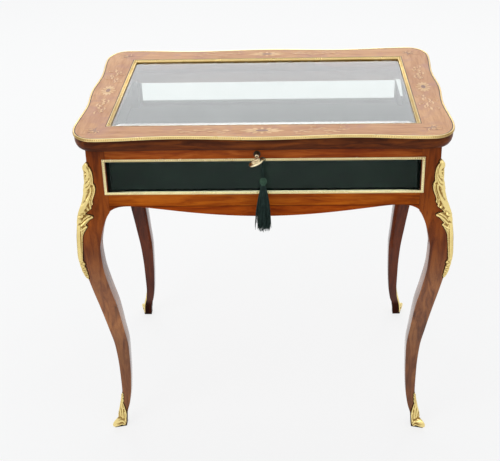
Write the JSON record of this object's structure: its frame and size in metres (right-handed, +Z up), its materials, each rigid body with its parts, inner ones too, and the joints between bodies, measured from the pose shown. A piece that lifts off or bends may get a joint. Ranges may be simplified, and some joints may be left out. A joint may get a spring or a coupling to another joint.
{
  "type": "collectors display table",
  "caption": "Glazed display table on cabriole legs: hinged serpentine lid with bevelled glass, velvet lined case, lock with key and tassel, gilt mounts.",
  "frame": {"origin": "on the floor under the middle of the table's overall footprint, tassel left out", "axes": "+Z up, +X to the right of someone facing the keyhole, -Y towards that person; the lid opens towards +Y"},
  "size_m": [0.8072, 0.6296, 0.76],
  "materials": {
    "veneered_wood": "polished",
    "lid_veneer": "polished marquetry",
    "carcass_wood": "waxed",
    "gilt_bronze": "chased and gilt",
    "gilt_key": "polished",
    "brass_fittings": "satin",
    "brass_screws": "satin",
    "steel_pins": "filed",
    "window_glass": "polished",
    "lid_plate_glass": "bevelled and polished",
    "velvet": "velvet",
    "tassel_silk": "silk"
  },
  "bodies": {
    "table": {"apron_back": "veneered_wood", "apron_front": "veneered_wood", "apron_left": "veneered_wood", "apron_right": "veneered_wood", "case_board": "carcass_wood", "escutcheon": "gilt_bronze", "floor_cleats": "carcass_wood", "glazing_beads": "velvet", "hinge_leaves_case": "brass_fittings", "hinge_pins": "steel_pins", "hinge_screws_case": "brass_screws", "knee_mount_back_left": "gilt_bronze", "knee_mount_back_right": "gilt_bronze", "knee_mount_front_left": "gilt_bronze", "knee_mount_front_right": "gilt_bronze", "leg_back_left": "veneered_wood", "leg_back_right": "veneered_wood", "leg_front_left": "veneered_wood", "leg_front_right": "veneered_wood", "lock_case": "brass_fittings", "lock_cover_plate": "brass_fittings", "lock_screws": "brass_screws", "sabot_back_left": "gilt_bronze", "sabot_back_right": "gilt_bronze", "sabot_front_left": "gilt_bronze", "sabot_front_right": "gilt_bronze", "top_rail_back": "veneered_wood", "top_rail_front": "veneered_wood", "top_rail_left": "veneered_wood", "top_rail_right": "veneered_wood", "velvet_lining": "velvet", "window_frame_back": "gilt_bronze", "window_frame_front": "gilt_bronze", "window_frame_left": "gilt_bronze", "window_frame_right": "gilt_bronze", "window_pane_back": "window_glass", "window_pane_front": "window_glass", "window_pane_left": "window_glass", "window_pane_right": "window_glass"},
    "lid": {"lid_rail_front": "lid_veneer", "lid_rail_back": "lid_veneer", "lid_rail_left": "lid_veneer", "lid_rail_right": "lid_veneer", "lid_gilt_edge": "gilt_bronze", "lid_sight_moulding": "gilt_bronze", "lid_glass": "lid_plate_glass", "hinge_leaves_lid": "brass_fittings", "hinge_screws_lid": "brass_screws", "link_plate": "brass_fittings", "link_plate_screws": "brass_screws"},
    "key": {"key": "gilt_key"},
    "lock_bolt": {"lock_bolt": "steel_pins"},
    "tassel_hanger": {"tassel_loop": "tassel_silk"},
    "tassel": {"tassel_cord": "tassel_silk", "tassel_head": "tassel_silk", "tassel_skirt": "tassel_silk"}
  },
  "joints": [
    {"name": "lid_hinge", "type": "hinge", "parent": "table", "child": "lid", "pos_m": [0, 0.2846, 0.7252], "axis": [-1, 0, 0], "range_deg": [0, 100]},
    {"name": "key_turn", "type": "hinge", "parent": "table", "child": "key", "pos_m": [-0.011, -0.255, 0.7135], "axis": [0, 1, 0], "range_deg": [0, 114]},
    {"name": "bolt_slide", "type": "slide", "parent": "table", "child": "lock_bolt", "axis": [-1, 0, 0], "range_m": [0, 0.0061]},
    {"name": "tassel_hang", "type": "hinge", "parent": "key", "child": "tassel_hanger", "pos_m": [0.00211, -0.2975, 0.71934], "axis": [0, 1, 0], "range_deg": [-114.5, 0.5]},
    {"name": "tassel_swing", "type": "hinge", "parent": "tassel_hanger", "child": "tassel", "pos_m": [0.00211, -0.2975, 0.71934], "axis": [0, 1, 0], "range_deg": [-40, 40]}
  ],
  "couplings": [
    {"joint": "bolt_slide", "follows": "key_turn", "m_per_rad": 0.0030156},
    {"joint": "tassel_hang", "follows": "key_turn", "ratio": -1}
  ]
}
